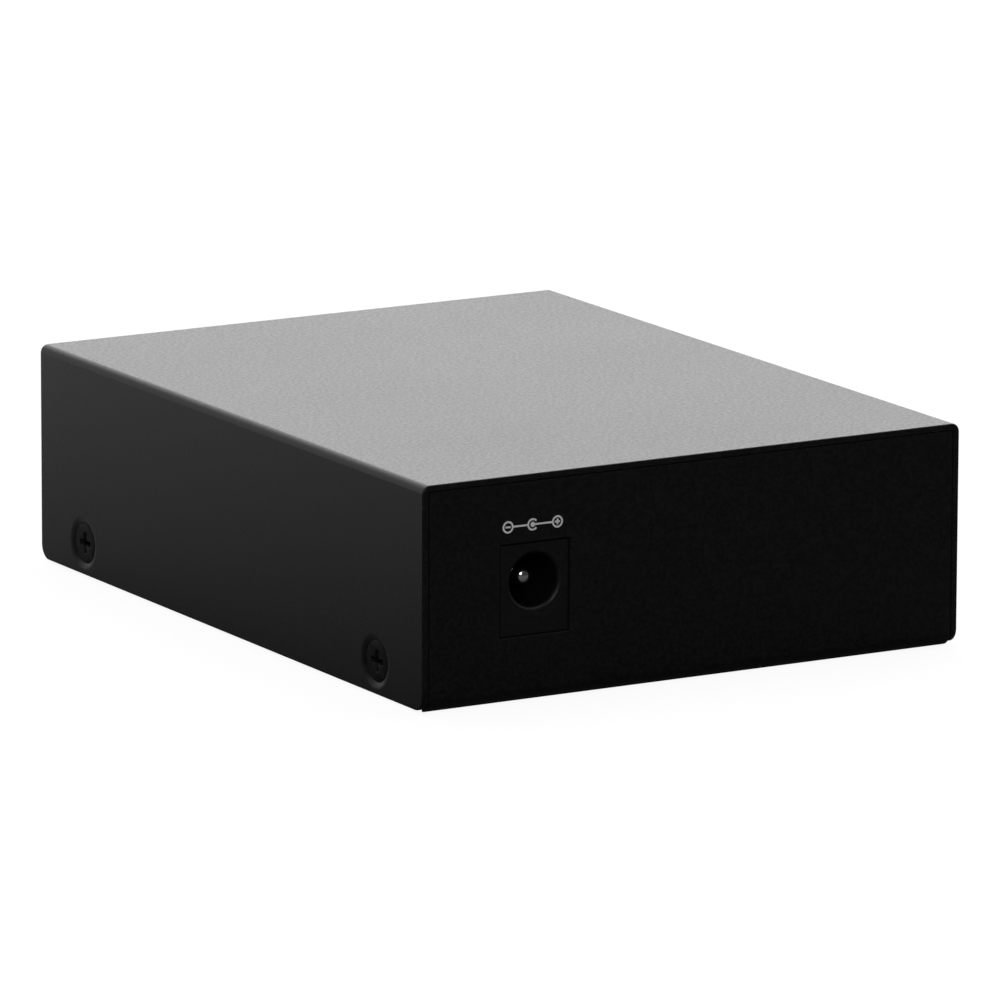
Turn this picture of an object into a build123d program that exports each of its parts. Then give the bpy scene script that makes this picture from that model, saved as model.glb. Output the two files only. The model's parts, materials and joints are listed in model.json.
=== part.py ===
from build123d import *
from math import sqrt
import os

# Fibre media converter: a folded steel case round a circuit board that carries a power socket,
# a copper network socket, a duplex fibre socket, status lights and a small mode switch.
# Frame: +Z up, origin at the centre of the underside, network ports towards -Y,
# power socket towards +Y. Millimetres.

# Case
case_width = 73.0
case_depth = 94.5
case_height = 27.0
sheet = 0.8
cover_fold_inside = 0.2
tray_bend_inside = 1.0
flange_bend_inside = 0.4
flange_height = 7.6
cover_gap = 0.15
cover_lift = 0.3
corner_relief = 1.2

# Countersunk cover screws, the pressed dimples that they sit in and the nuts pressed into the tray
cover_screw_inset = 11.05
cover_screw_height = 4.2
cover_screw_length = 4.0
cover_head_diameter = 5.0
cover_head_recess = 0.25
cover_thread_diameter = 3.0
cover_hole_diameter = 3.0
dimple_rim = 0.55
thread_play = 0.05
nut_hex = 5.0
nut_length = 1.4
recess_span = 2.7
recess_slot = 0.7
recess_depth = 1.3

# Circuit board and what carries it
board_thickness = 1.6
board_height = 6.4
board_side_clear = 0.35
board_end_clear = 1.25
standoff_hex = 5.0
standoff_foot_hex = 4.0
standoff_floor = 1.6
standoff_side_inset = 2.8
standoff_rear_inset = 3.8
standoff_front_gap = 1.05
board_thread_diameter = 2.5
board_hole_diameter = 2.8
board_screw_head = 4.7
pin_clear = 0.15
pin_reach = 1.4

# Power socket, for a barrel plug of 5.5 mm
jack_standoff_gap = 0.75
jack_axis_height = 6.3
jack_bore_diameter = 6.4
jack_bore_depth = 9.8
jack_wall = 1.3
jack_barrel_wall = 1.1
jack_back_wall = 3.4
jack_flange = 3.4
jack_floor = 0.8
jack_recess = 0.2
jack_mouth_chamfer = 0.3
jack_pin_diameter = 2.0
jack_pin_tip = 0.6
jack_pin_setback = 2.0
jack_tang = 1.6
jack_lug_width = 3.0
jack_lug_thickness = 0.8
jack_spring_thickness = 0.3
jack_spring_bite = 0.5
cutout_gap = 0.2

# Copper network socket
rj45_edge_clear = 1.2
rj45_cheek = 2.05
rj45_roof = 1.7
rj45_back = 3.8
rj45_wall = 0.3
rj45_play = 0.1
rj45_floor = 1.7
rj45_mouth_width = 11.9
rj45_mouth_height = 6.9
rj45_latch_width = 6.4
rj45_latch_height = 1.5
rj45_key_width = 4.0
rj45_key_height = 1.5
rj45_mouth_depth = 12.2
rj45_contact_count = 8
rj45_contact_pitch = 1.02
rj45_contact_width = 0.46
rj45_contact_thickness = 0.3
rj45_contact_run = 1.0
rj45_contact_rise = 4.1
rj45_contact_nose = 3.7
rj45_contact_reach = 9.2
rj45_contact_blunt = 0.6
rj45_groove_floor = 0.4
rj45_groove_setback = 3.4
rj45_tail_inset = 2.0
rj45_tail_stagger = 2.5
rj45_tail_room = 0.85
rj45_tab_width = 1.6

# Duplex fibre socket with its optical module
fibre_gap_share = 0.165
fibre_side_wall = 1.7
fibre_top_wall = 0.7
fibre_length = 47.0
fibre_pitch = 12.7
fibre_axis_height = 5.1
fibre_mouth_width = 9.3
fibre_mouth_height = 7.6
fibre_mouth_depth = 12.2
fibre_key_width = 2.6
fibre_key_height = 0.8
fibre_wall = 1.2
fibre_partition = 2.5
fibre_lid_thickness = 1.0
fibre_board_thickness = 1.0
fibre_ledge = 0.8
fibre_nose_diameter = 4.4
fibre_nose_setback = 6.2
fibre_block = 5.6
fibre_block_length = 6.3
fibre_sleeve_bore = 2.5
fibre_sleeve_wall = 0.3
fibre_latch_plate = 1.2
fibre_latch_setback = 4.8
fibre_latch_arm = 0.8
fibre_latch_hook = 0.5
fibre_latch_height = 3.0
fibre_pin_count = 9
fibre_pin_pitch = 2.54
fibre_pin_size = 0.5
fibre_pin_inset = 2.6
fibre_pin_top = 1.0
fibre_lead_length = 3.0
running_clear = 0.05

# Status lights, with widths for a room of front_room beside the fibre socket
front_room = 17.702
front_follow = 0.4
light_count = 3
light_pitch = 3.8
light_height = 18.5
light_diameter = 2.5
light_hole_gap = 0.15
light_setback = 7.75
light_leg_edge = 0.1
light_bar_height = 3.0
light_bar_thickness = 1.4
light_foot_gap = 0.1
led_length = 2.0
led_width = 1.25
led_height = 0.8
led_gap = 0.2

# Mode switch, with widths for the same room
switch_width = 8.6
switch_height = 4.5
switch_depth = 4.6
switch_wall = 0.3
switch_panel_gap = 0.35
switch_travel = 2.0
switch_stem_width = 2.4
switch_stem_height = 2.2
switch_stem_recess = 0.2
switch_slider_width = 4.2
switch_slider_height = 3.2
switch_slider_depth = 1.6
switch_slot_gap = 0.3
switch_base_thickness = 1.0
switch_wiper_thickness = 0.2
switch_wiper_height = 1.1
switch_pin_pitch = 2.5
switch_pin_size = 0.6

# Parts on the board
chip_size = 12.0
chip_height = 1.2
chip_setback = 9.0
chip_edge = 0.15
crystal_length = 11.4
crystal_width = 4.7
crystal_height = 3.6
crystal_gap = 3.8
transformer_length = 12.7
transformer_width = 7.1
transformer_height = 5.9
transformer_gap = 1.5
transformer_edge = 0.45
transformer_lead_count = 8
transformer_lead_pitch = 1.27
lead_width = 0.45
lead_thickness = 0.25
lead_reach = 1.5
lead_rise = 0.8
inductor_size = 7.0
inductor_height = 4.0
inductor_corner = 1.4
inductor_flange = 1.0
inductor_drum = 5.8
capacitor_diameter = 6.3
capacitor_height = 11.0
capacitor_gap = 1.7
capacitor_lead_pitch = 2.5
capacitor_lead_size = 0.5
regulator_length = 6.5
regulator_width = 3.5
regulator_height = 1.6
regulator_tab_length = 3.2
regulator_lead_pitch = 2.3
diode_length = 4.5
diode_width = 2.6
diode_height = 2.2
diode_edge = 0.3
diode_strap = 1.4
passive_length = 1.6
passive_width = 0.8
passive_height = 0.8
passive_rows = 5
passive_columns = 3
passive_pitch = 2.6
passive_inset = 3.0
rear_part_inset = 5.5
rear_part_gap = 3.0
jack_part_gap = 2.35

# Places that follow from the sizes above
side_x = case_width / 2
end_y = case_depth / 2
tray_bend_radius = tray_bend_inside + sheet
flange_bend_radius = flange_bend_inside + sheet
panel_width = case_width - 2 * (sheet + cover_gap)
panel_top = case_height - sheet - cover_gap
dimple_seat = cover_head_diameter / 2 + thread_play
dimple_bulge = dimple_seat + cover_head_recess - cover_hole_diameter / 2 - sheet
flange_x = side_x - sheet - dimple_bulge
cover_screw_y = end_y - cover_screw_inset
cover_screw_places = [(side, y) for side in (-1, 1) for y in (-cover_screw_y, cover_screw_y)]

board_top = board_height + board_thickness
board_x = side_x - cover_head_recess - cover_screw_length - board_side_clear
board_y = end_y - sheet - board_end_clear
pin_end = board_height - pin_reach

rj45_width = rj45_mouth_width + 2 * rj45_cheek
rj45_height = rj45_floor + rj45_mouth_height + rj45_latch_height + rj45_key_height + rj45_roof
rj45_x = board_x - rj45_edge_clear - rj45_width / 2
rj45_face = -end_y
rj45_rear = rj45_face + rj45_mouth_depth + rj45_back
rj45_middle_y = (rj45_face + rj45_rear) / 2
rj45_floor_z = board_top + rj45_floor
rj45_tail_rear = rj45_rear - rj45_tail_inset
rj45_tail_front = rj45_tail_rear - rj45_tail_stagger

standoff_x = board_x - standoff_side_inset
standoff_front_y = rj45_rear + standoff_front_gap + board_screw_head / 2
standoff_rear_y = board_y - standoff_rear_inset
standoff_places = [(side * standoff_x, y) for side in (-1, 1) for y in (standoff_front_y, standoff_rear_y)]

jack_width = jack_bore_diameter + 2 * jack_wall
jack_height = jack_axis_height + jack_bore_diameter / 2 + jack_wall
jack_length = jack_bore_depth + jack_back_wall
jack_x = standoff_x - board_screw_head / 2 - jack_standoff_gap - jack_width / 2
jack_face = end_y - jack_recess
jack_rear = jack_face - jack_length
jack_bore_end = jack_face - jack_bore_depth
jack_axis = board_top + jack_axis_height
jack_lug_y = jack_rear - jack_lug_thickness / 2
jack_leg_y = jack_bore_end + 3 * jack_spring_thickness

fibre_width = fibre_pitch + fibre_mouth_width + 2 * fibre_side_wall
fibre_height = fibre_axis_height + fibre_mouth_height / 2 + fibre_key_height + fibre_top_wall
front_spare = 2 * board_x - rj45_edge_clear - rj45_width - fibre_width
fibre_gap = front_spare * fibre_gap_share
fibre_x = rj45_x - rj45_width / 2 - fibre_gap - fibre_width / 2
fibre_face = -end_y
fibre_rear = fibre_face + fibre_length
fibre_axis = board_top + fibre_axis_height
fibre_axes = [fibre_x + row * fibre_pitch / 2 for row in (-1, 1)]
fibre_wall_front = fibre_face + fibre_mouth_depth
fibre_wall_rear = fibre_wall_front + fibre_partition
fibre_room_rear = fibre_rear - fibre_wall
fibre_room_width = fibre_width - 2 * fibre_wall
fibre_ledge_z = fibre_axis - fibre_board_thickness / 2
fibre_lid_z = board_top + fibre_height - fibre_lid_thickness
fibre_block_rear = fibre_wall_rear + fibre_block_length
fibre_pin_y = fibre_room_rear - fibre_pin_inset
fibre_pin_tip = fibre_ledge_z + fibre_board_thickness + fibre_pin_top

lights_room = front_spare - fibre_gap
lights_x = lights_room / 2 - board_x
front_fit = (lights_room / front_room) ** front_follow
light_leg_y = light_setback - end_y
light_step = light_pitch * front_fit
lens_diameter = light_diameter * front_fit
light_leg_width = lens_diameter + 2 * light_leg_edge
light_foot_width = light_step - light_leg_width - 2 * light_foot_gap

switch_front = sheet + switch_panel_gap - end_y
switch_rear = switch_front + switch_depth
switch_axis = board_top + switch_height / 2
switch_span = switch_width * front_fit
switch_throw = switch_travel * front_fit
switch_rest_x = lights_x - switch_throw / 2
switch_slider_front = switch_front + switch_wall + running_clear
switch_slider_rear = switch_slider_front + switch_slider_depth
switch_slider_span = switch_slider_width * front_fit
switch_stem_span = switch_stem_width * front_fit
switch_pin = switch_pin_size * front_fit
switch_lug_y = (switch_front + switch_rear) / 2
switch_slot_width = switch_stem_span + switch_throw + 2 * switch_slot_gap
switch_slot_height = switch_stem_height + 2 * switch_slot_gap

chip_y = fibre_rear + chip_setback
crystal_x = -chip_size / 2 - crystal_gap - crystal_width / 2
capacitor_y = board_y - rear_part_inset
capacitor_first_x = jack_x - jack_width / 2 - jack_part_gap - capacitor_diameter / 2
capacitor_second_x = capacitor_first_x - capacitor_diameter - capacitor_gap
inductor_y = jack_lug_y - rear_part_gap - inductor_size / 2
diode_y = inductor_y - inductor_size / 2 - rear_part_gap - diode_length / 2


# Even spread of places about a middle
def spread(middle, count, pitch):
    return [middle + (i - (count - 1) / 2) * pitch for i in range(count)]


fibre_pin_xs = spread(fibre_x, fibre_pin_count, fibre_pin_pitch)
light_xs = spread(lights_x, light_count, light_step)
light_foot_xs = spread(lights_x, light_count - 1, light_step)
switch_pin_xs = spread(lights_x, 3, switch_pin_pitch * front_fit)
switch_lug_xs = spread(lights_x, 2, switch_span - switch_wall)
rj45_tail_xs = spread(rj45_x, rj45_contact_count, rj45_contact_pitch)
rj45_tab_xs = spread(rj45_x, 2, rj45_width - rj45_wall)
capacitor_xs = [capacitor_first_x, capacitor_second_x]


# Helpers: profiles drawn on a main plane and pulled along the third axis
def along_x(face, start, end):
    return extrude(Pos(start, 0, 0) * (Plane.YZ * face), amount=end - start)


def along_y(face, start, end):
    return extrude(Pos(0, end, 0) * (Plane.XZ * face), amount=end - start)


def along_z(face, start, end):
    return extrude(Pos(0, 0, start) * face, amount=end - start)


# Solid of revolution about Z from (radius, height) points
def turned(*points):
    return revolve(Plane.XZ * make_face(Polyline(*points, close=True)), Axis.Z)


def group(solids):
    return Compound(children=list(solids))


def square(size):
    return Rectangle(size, size)


def hexagon(across_flats):
    return RegularPolygon(across_flats / 2, 6, major_radius=False)


# Rectangle that stands on the sketch's x axis
def standing(width, height):
    return Rectangle(width, height, align=(Align.CENTER, Align.MIN))


# U section of folded sheet, open at the top, lying on the sketch's x axis
def channel(span, rise, inside_radius):
    outer = fillet(standing(span, rise).vertices().group_by(Axis.Y)[0], inside_radius + sheet)
    room = Pos(0, sheet) * standing(span - 2 * sheet, rise)
    return outer - fillet(room.vertices().group_by(Axis.Y)[0], inside_radius)


# Bent metal strip along points, its width along the given direction
def strip(points, width, thickness, across):
    path = Polyline(*points)
    start = Plane(path @ 0, x_dir=across, z_dir=path % 0)
    return sweep(start * Rectangle(width, thickness), path, transition=Transition.RIGHT)


# Cross recess of a screw head, two tapered wings with their mouth at z = 0
def cross_recess():
    top = recess_span / 2
    low = recess_slot / 2
    outline = Polyline((-top, 0), (top, 0), (low, -recess_depth), (-low, -recess_depth), close=True)
    wing = extrude(Plane.XZ * make_face(outline), amount=low, both=True)
    return wing + Rot(0, 0, 90) * wing


# Place on a side wall of the cover, with local +Z pointing out of the wall
def at_cover_screw(side, y):
    return Pos(side * side_x, y, cover_screw_height) * Rot(0, side * 90, 0)


# Case
def make_top_cover():
    section = channel(case_width, case_height - cover_lift, cover_fold_inside)
    cover = along_y(Pos(0, case_height) * Rot(0, 0, 180) * section, -end_y, end_y)
    lower_corners = cover.edges().filter_by(Axis.X).group_by(Axis.Z)[0]
    cover = fillet(lower_corners, tray_bend_radius)
    rim = dimple_seat + dimple_rim
    tip = dimple_seat + cover_head_recess
    inside = sheet + dimple_bulge
    bulge = tip - sheet + sheet * sqrt(2)
    pressed = turned((0, -sheet), (bulge, -sheet), (bulge - dimple_bulge, -inside), (0, -inside))
    sunk = turned((0, sheet), (rim, sheet), (rim, 0), (dimple_seat, -cover_head_recess), (0, -tip))
    for place in cover_screw_places:
        cover = cover + at_cover_screw(*place) * pressed
    for place in cover_screw_places:
        cover = cover - at_cover_screw(*place) * sunk
    return cover


def make_cover_screws():
    head = cover_head_diameter / 2
    shank = cover_thread_diameter / 2 - thread_play
    screw = turned(
        (0, 0), (head, 0), (shank, shank - head), (shank, -cover_screw_length), (0, -cover_screw_length)
    )
    screw = Pos(0, 0, -cover_head_recess) * (screw - cross_recess())
    return group(at_cover_screw(*place) * screw for place in cover_screw_places)


# Stepped outline of the copper socket's mouth, on the XZ plane
def rj45_mouth(gap):
    latch_top = rj45_mouth_height + rj45_latch_height
    plug = Pos(0, -gap) * standing(rj45_mouth_width + 2 * gap, rj45_mouth_height + 2 * gap)
    latch = standing(rj45_latch_width + 2 * gap, latch_top + gap)
    key = standing(rj45_key_width + 2 * gap, latch_top + rj45_key_height + gap)
    return Pos(rj45_x, rj45_floor_z) * (plug + latch + key)


# Outline round a socket that stands on the board, on the XZ plane
def socket_cutout(x, width, height):
    return Pos(x, board_top - cutout_gap) * standing(width + 2 * cutout_gap, height + 2 * cutout_gap)


def switch_slot():
    return Pos(lights_x, switch_axis) * Rectangle(switch_slot_width, switch_slot_height)


def make_base_tray():
    tray = along_x(channel(case_depth, panel_top, tray_bend_inside), -panel_width / 2, panel_width / 2)
    relief_width = panel_width / 2 - flange_x + flange_bend_radius
    relief = Rectangle(relief_width, case_depth - 2 * tray_bend_radius)
    for side in (-1, 1):
        beside = Pos(side * (panel_width - relief_width) / 2, 0)
        tray = tray - along_z(beside * relief, 0, sheet)
    flange_end = end_y - tray_bend_radius - corner_relief
    flanges = channel(2 * flange_x, flange_height, flange_bend_inside)
    tray = tray + along_y(flanges, -flange_end, flange_end)
    nut_seat = flange_x - sheet - side_x
    nut_end = nut_seat - nut_length
    tapped = Circle(cover_thread_diameter / 2)
    for place in cover_screw_places:
        tray = tray + at_cover_screw(*place) * along_z(hexagon(nut_hex), nut_end, nut_seat)
    for place in cover_screw_places:
        tray = tray - at_cover_screw(*place) * along_z(tapped, nut_end, 0)
    for x, y in standoff_places:
        tray = tray - along_z(Pos(x, y) * hexagon(standoff_foot_hex + 2 * running_clear), 0, sheet)
    front = socket_cutout(rj45_x, rj45_width, rj45_height)
    front += socket_cutout(fibre_x, fibre_width, fibre_height)
    front += switch_slot()
    front += [Pos(x, light_height) * Circle(lens_diameter / 2 + light_hole_gap) for x in light_xs]
    tray = tray - along_y(front, -end_y, -end_y + sheet)
    return tray - along_y(socket_cutout(jack_x, jack_width, jack_height), end_y - sheet, end_y)


# Board and its carriers
def make_board_standoffs():
    standoff = along_z(hexagon(standoff_foot_hex), 0, sheet)
    standoff = standoff + along_z(hexagon(standoff_hex), sheet, board_height)
    standoff = standoff - along_z(Circle(board_thread_diameter / 2), standoff_floor, board_height)
    return group(Pos(x, y) * standoff for x, y in standoff_places)


# Hole in the board round a pin, with room on every side
def pin_hole(x, y, width, depth):
    return Pos(x, y) * Rectangle(width + 2 * pin_clear, depth + 2 * pin_clear)


def make_main_board():
    outline = Rectangle(2 * board_x, 2 * board_y)
    holes = [Pos(x, y) * Circle(board_hole_diameter / 2) for x, y in standoff_places]
    holes += [pin_hole(x, light_leg_y, light_foot_width, light_foot_width) for x in light_foot_xs]
    holes += [pin_hole(x, y, rj45_contact_width, rj45_contact_thickness) for x, y in rj45_tail_places()]
    holes += [pin_hole(x, rj45_middle_y, rj45_wall, rj45_tab_width) for x in rj45_tab_xs]
    holes += [pin_hole(x, fibre_pin_y, fibre_pin_size, fibre_pin_size) for x in fibre_pin_xs]
    holes += [pin_hole(x, switch_lug_y, switch_pin, switch_pin) for x in switch_pin_xs]
    holes += [pin_hole(x, switch_lug_y, switch_wall, switch_pin) for x in switch_lug_xs]
    for x in capacitor_xs:
        for lead_x in spread(x, 2, capacitor_lead_pitch):
            holes.append(pin_hole(lead_x, capacitor_y, capacitor_lead_size, capacitor_lead_size))
    holes.append(pin_hole(jack_x, jack_lug_y, jack_lug_width, jack_lug_thickness))
    holes.append(pin_hole(jack_x, jack_leg_y, jack_lug_width, jack_spring_thickness))
    return along_z(outline - holes, board_height, board_top)


# Power socket, turned about the socket's axis with local +Z out of its mouth
def at_jack():
    return Pos(jack_x, jack_face, jack_axis) * Rot(-90, 0, 0)


def make_power_jack_housing():
    place = Pos(jack_x, board_top)
    front = place * standing(jack_width, jack_height)
    barrel = Circle(jack_bore_diameter / 2 + jack_barrel_wall)
    saddle = standing(jack_bore_diameter + 2 * jack_barrel_wall, jack_axis_height)
    rear = place * (saddle + Pos(0, jack_axis_height) * barrel)
    body = along_y(front, jack_face - jack_flange, jack_face)
    body = body + along_y(rear, jack_rear, jack_face - jack_flange)
    bore = jack_bore_diameter / 2
    mouth = bore + jack_mouth_chamfer
    socket = turned(
        (0, 0), (mouth, 0), (bore, -jack_mouth_chamfer), (bore, -jack_bore_depth), (0, -jack_bore_depth)
    )
    body = body - at_jack() * socket
    tang = Pos(jack_x, jack_axis) * square(jack_tang + 2 * running_clear)
    body = body - along_y(tang, jack_rear, jack_bore_end)
    room = jack_lug_width + 2 * pin_clear
    groove = Pos(jack_x, board_top + jack_floor) * standing(room, jack_axis_height - jack_floor)
    body = body - along_y(groove, jack_bore_end, jack_face - jack_flange)
    leg = pin_hole(jack_x, jack_leg_y, jack_lug_width, jack_spring_thickness)
    return body - along_z(leg, board_top, board_top + jack_floor)


def make_power_jack_pin():
    radius = jack_pin_diameter / 2
    rod = turned(
        (0, -jack_pin_setback),
        (radius - jack_pin_tip, -jack_pin_setback),
        (radius, -jack_pin_setback - jack_pin_tip),
        (radius, -jack_bore_depth),
        (0, -jack_bore_depth),
    )
    tang = along_y(Pos(jack_x, jack_axis) * square(jack_tang), jack_rear, jack_bore_end)
    lug = Pos(jack_x, pin_end) * standing(jack_lug_width, jack_axis + jack_lug_width / 2 - pin_end)
    return at_jack() * rod + tang + along_y(lug, jack_rear - jack_lug_thickness, jack_rear)


def make_power_jack_spring():
    low = jack_axis - jack_bore_diameter / 2 - jack_spring_thickness
    crest = low + jack_spring_thickness + jack_spring_bite
    front = jack_face - jack_flange - 2 * jack_spring_thickness
    ridge = (2 * front + jack_leg_y) / 3
    bends = [(front, low), (ridge, crest), (jack_leg_y, low), (jack_leg_y, pin_end)]
    points = [(jack_x, y, z) for y, z in bends]
    return strip(points, jack_lug_width, jack_spring_thickness, (1, 0, 0))


# Copper network socket
def rj45_tail_places():
    rows = (rj45_tail_front, rj45_tail_rear)
    return [(x, rows[i % 2]) for i, x in enumerate(rj45_tail_xs)]


def make_rj45_shell():
    place = Pos(rj45_x, board_top)
    shell = along_y(place * standing(rj45_width, rj45_height), rj45_face, rj45_rear)
    room = place * standing(rj45_width - 2 * rj45_wall, rj45_height - rj45_wall)
    shell = shell - along_y(room, rj45_face + rj45_wall, rj45_rear - rj45_wall)
    shell = shell - along_y(rj45_mouth(rj45_play), rj45_face, rj45_face + rj45_wall)
    for x in rj45_tab_xs:
        tab = Pos(x, rj45_middle_y) * Rectangle(rj45_wall, rj45_tab_width)
        shell = shell + along_z(tab, pin_end, board_top)
    return shell


def make_rj45_housing():
    inset = rj45_wall + rj45_play
    outline = Pos(rj45_x, board_top) * standing(rj45_width - 2 * inset, rj45_height - inset)
    housing = along_y(outline, rj45_face + inset, rj45_rear - inset)
    housing = housing - along_y(rj45_mouth(0), rj45_face, rj45_face + rj45_mouth_depth)
    room_width = rj45_contact_count * rj45_contact_pitch + 2 * pin_clear
    groove = Pos(rj45_x, board_top + rj45_groove_floor) * standing(room_width, rj45_floor)
    groove_rear = rj45_tail_rear + rj45_tail_room
    housing = housing - along_y(groove, rj45_face + rj45_groove_setback, groove_rear)
    tail_room = rj45_tail_stagger + 2 * rj45_tail_room
    tails = Pos(rj45_x, groove_rear - tail_room / 2) * Rectangle(room_width, tail_room)
    return housing - along_z(tails, board_top, board_top + rj45_floor)


def make_rj45_contacts():
    run = board_top + rj45_contact_run
    nose = rj45_face + rj45_contact_nose
    tip = (rj45_face + rj45_contact_reach, board_top + rj45_contact_rise)
    contacts = []
    for x, tail in rj45_tail_places():
        bends = [(tail, pin_end), (tail, run), (nose, run), (nose, run + rj45_contact_blunt), tip]
        points = [(x, y, z) for y, z in bends]
        contacts.append(strip(points, rj45_contact_width, rj45_contact_thickness, (1, 0, 0)))
    return group(contacts)


# Duplex fibre socket and optical module
def make_fibre_housing():
    place = Pos(fibre_x, board_top)
    housing = along_y(place * standing(fibre_width, fibre_height), fibre_face, fibre_rear)
    for x in fibre_axes:
        axis = Pos(x, fibre_axis)
        mouth = Rectangle(fibre_mouth_width, fibre_mouth_height)
        mouth += standing(fibre_key_width, fibre_mouth_height / 2 + fibre_key_height)
        housing = housing - along_y(axis * mouth, fibre_face, fibre_wall_front)
        bore = Circle(fibre_nose_diameter / 2 + running_clear)
        housing = housing - along_y(axis * bore, fibre_wall_front, fibre_wall_rear)
    upper = Pos(fibre_x, fibre_ledge_z) * standing(fibre_room_width, fibre_height)
    lower = Pos(0, fibre_wall) * standing(fibre_room_width - 2 * fibre_ledge, fibre_height)
    housing = housing - along_y(upper + place * lower, fibre_wall_rear, fibre_room_rear)
    row = Rectangle(fibre_pin_count * fibre_pin_pitch, fibre_pin_size + 2 * pin_clear)
    housing = housing - along_z(Pos(fibre_x, fibre_pin_y) * row, board_top, fibre_pin_tip)
    lid_room = Pos(fibre_x, fibre_lid_z) * standing(fibre_width, fibre_lid_thickness)
    return housing - along_y(lid_room, fibre_wall_rear, fibre_rear)


def make_fibre_lid():
    plate = Pos(fibre_x, fibre_lid_z) * standing(fibre_width, fibre_lid_thickness)
    lip = standing(fibre_room_width - 2 * running_clear, fibre_lid_thickness)
    lip_rear = fibre_room_rear - running_clear
    lid = along_y(plate, fibre_wall_rear, fibre_rear)
    lip = Pos(fibre_x, fibre_lid_z - fibre_lid_thickness) * lip
    return lid + along_y(lip, lip_rear - fibre_lid_thickness, lip_rear)


# Sprung hook of a fibre latch on the +X side, with x from the port's axis
def latch_arm():
    outside = fibre_mouth_width / 2 - 3 * running_clear
    inside = outside - fibre_latch_arm
    front = fibre_face + fibre_latch_setback
    barb = front + 2 * fibre_latch_hook
    root = fibre_wall_front - fibre_latch_plate
    hook = (inside - fibre_latch_hook, barb)
    outline = Polyline(
        (outside, front), (inside, front), hook, (inside, barb), (inside, root), (outside, root), close=True
    )
    half = fibre_latch_height / 2
    return along_z(make_face(outline), fibre_axis - half, fibre_axis + half)


def make_fibre_latches():
    slack = 2 * running_clear
    plate = Rectangle(fibre_mouth_width - slack, fibre_mouth_height - slack)
    plate -= square(fibre_nose_diameter + 2 * slack)
    plate = along_y(Pos(0, fibre_axis) * plate, fibre_wall_front - fibre_latch_plate, fibre_wall_front)
    latch = plate + latch_arm() + mirror(latch_arm(), Plane.YZ)
    return group(Pos(x, 0, 0) * latch for x in fibre_axes)


def make_fibre_barrels():
    bore = fibre_sleeve_bore / 2 + fibre_sleeve_wall + running_clear
    rim = fibre_wall_rear - fibre_face
    back = fibre_block_rear - fibre_face
    barrel = along_z(Circle(fibre_nose_diameter / 2) - Circle(bore), fibre_nose_setback, rim)
    barrel = barrel + along_z(square(fibre_block), rim, back)
    for height in spread(0, 2, fibre_board_thickness + fibre_pin_size):
        barrel = barrel + along_z(Pos(0, height) * square(fibre_pin_size), back, back + fibre_lead_length)
    return group(Pos(x, fibre_face, fibre_axis) * Rot(-90, 0, 0) * barrel for x in fibre_axes)


def make_fibre_sleeves():
    inner = fibre_sleeve_bore / 2
    ring = Circle(inner + fibre_sleeve_wall) - Circle(inner)
    front = fibre_face + fibre_nose_setback + running_clear
    return group(along_y(Pos(x, fibre_axis) * ring, front, fibre_wall_rear) for x in fibre_axes)


def make_fibre_board():
    outline = standing(fibre_room_width - 2 * running_clear, fibre_board_thickness)
    board = Pos(fibre_x, fibre_ledge_z) * outline
    board = along_y(board, fibre_block_rear + running_clear, fibre_room_rear - running_clear)
    hole = square(fibre_pin_size + 2 * running_clear)
    for x in fibre_pin_xs:
        drill = Pos(x, fibre_pin_y) * hole
        board = board - along_z(drill, fibre_ledge_z, fibre_ledge_z + fibre_board_thickness)
    return board


def make_fibre_pins():
    pin = along_z(square(fibre_pin_size), pin_end, fibre_pin_tip)
    return group(Pos(x, fibre_pin_y) * pin for x in fibre_pin_xs)


# Status lights
def make_light_pipe():
    half = light_leg_width / 2
    front = light_leg_y - half
    rear = light_leg_y + half
    foot = board_top + led_height + led_gap
    bar_z = board_top + light_bar_height
    span = (light_count - 1) * light_step
    bar = Pos(lights_x, light_leg_y) * Rectangle(span, light_bar_thickness)
    pipe = along_z(bar, bar_z, bar_z + light_bar_thickness)
    mirror_low = (rear, light_height - half)
    mirror_high = (front, light_height + half)
    leg = make_face(Polyline((front, foot), (rear, foot), mirror_low, mirror_high, close=True))
    for x in light_xs:
        rod = Pos(x, light_height) * Circle(lens_diameter / 2)
        pipe = pipe + along_y(rod, running_clear - end_y, front) + along_x(leg, x - half, x + half)
    for x in light_foot_xs:
        post = Pos(x, light_leg_y) * Rectangle(light_foot_width, light_bar_thickness)
        peg = Pos(x, light_leg_y) * square(light_foot_width)
        pipe = pipe + along_z(post, board_top, bar_z) + along_z(peg, board_height, board_top)
    return pipe


def make_status_leds():
    led = on_board(Rectangle(led_width * front_fit, led_length), led_height)
    return group(Pos(x, light_leg_y) * led for x in light_xs)


# Mode switch
def make_switch_frame():
    place = Pos(lights_x, board_top)
    frame = along_y(place * standing(switch_span, switch_height), switch_front, switch_rear)
    room = place * standing(switch_span - 2 * switch_wall, switch_height - switch_wall)
    frame = frame - along_y(room, switch_front + switch_wall, switch_rear)
    frame = frame - along_y(switch_slot(), switch_front, switch_front + switch_wall)
    for x in switch_lug_xs:
        lug = Pos(x, switch_lug_y) * Rectangle(switch_wall, switch_pin)
        frame = frame + along_z(lug, pin_end, board_top)
    return frame


def make_switch_base():
    place = Pos(lights_x, board_top)
    width = switch_span - 2 * (switch_wall + running_clear)
    back = place * standing(width, switch_height - switch_wall - running_clear)
    base = along_y(back, switch_rear - switch_base_thickness, switch_rear)
    base = base + along_y(place * standing(width, switch_wall), switch_slider_front, switch_rear)
    hole = square(switch_pin + 2 * running_clear)
    for x in switch_pin_xs:
        base = base - along_z(Pos(x, switch_lug_y) * hole, board_top, board_top + switch_wall)
    return base


def make_switch_terminals():
    pin = along_z(square(switch_pin), pin_end, board_top + switch_wall)
    return group(Pos(x, switch_lug_y) * pin for x in switch_pin_xs)


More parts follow.
